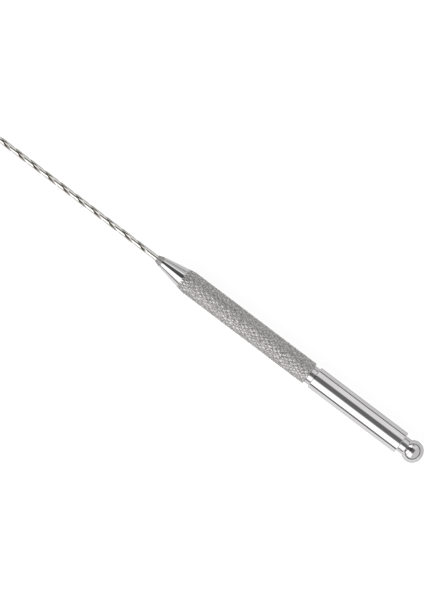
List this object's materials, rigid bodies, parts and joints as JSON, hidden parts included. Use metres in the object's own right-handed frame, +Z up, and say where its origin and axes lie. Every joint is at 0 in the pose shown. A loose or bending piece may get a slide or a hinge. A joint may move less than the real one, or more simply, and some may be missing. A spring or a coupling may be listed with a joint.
{
  "type": "clutch scriber",
  "caption": "Marking-out scriber: a fluted steel needle in a sprung collet, with a knurled grip, a smooth barrel and a ball push button.",
  "frame": {"origin": "on the plane that the grip rests on, under the middle of the tool's length", "axes": "+X along the tool from the needle's point to the ball button, +Z up"},
  "size_m": [0.218, 0.009, 0.009],
  "materials": {
    "needle_steel": "bright ground tool steel, dull and darker in the two helical flutes",
    "collet_steel": "dull grey hardened spring steel, unplated",
    "mechanism_steel": "plain turned steel and spring wire",
    "knurled_plate": "bright nickel plate over a medium diamond knurl, polished on the nose cone",
    "polished_plate": "mirror-bright nickel plate",
    "bush_bronze": "plain sintered bronze"
  },
  "bodies": {
    "handle": {"knurled_grip": "knurled_plate", "core_tube": "polished_plate", "smooth_barrel": "polished_plate", "rear_bush": "bush_bronze", "return_spring": "mechanism_steel"},
    "spring_washer": {"thrust_washer": "mechanism_steel"},
    "clutch": {"clutch_collet": "collet_steel", "push_tube": "mechanism_steel", "retaining_clip": "mechanism_steel", "ball_button": "polished_plate"},
    "needle": {"scriber_needle": "needle_steel"}
  },
  "joints": [
    {"name": "button_push", "type": "slide", "parent": "handle", "child": "spring_washer", "axis": [-1, 0, 0], "range_m": [0, 0.0022], "stiffness_N_per_m": 1200, "springref_m": -0.004, "deforming": ["return_spring"]},
    {"name": "clutch_turn", "type": "hinge", "parent": "spring_washer", "child": "clutch", "pos_m": [0.05, 0, 0.0045], "axis": [1, 0, 0], "continuous": true},
    {"name": "needle_slide", "type": "slide", "parent": "clutch", "child": "needle", "axis": [-1, 0, 0], "range_m": [-0.098, 0.012]}
  ]
}
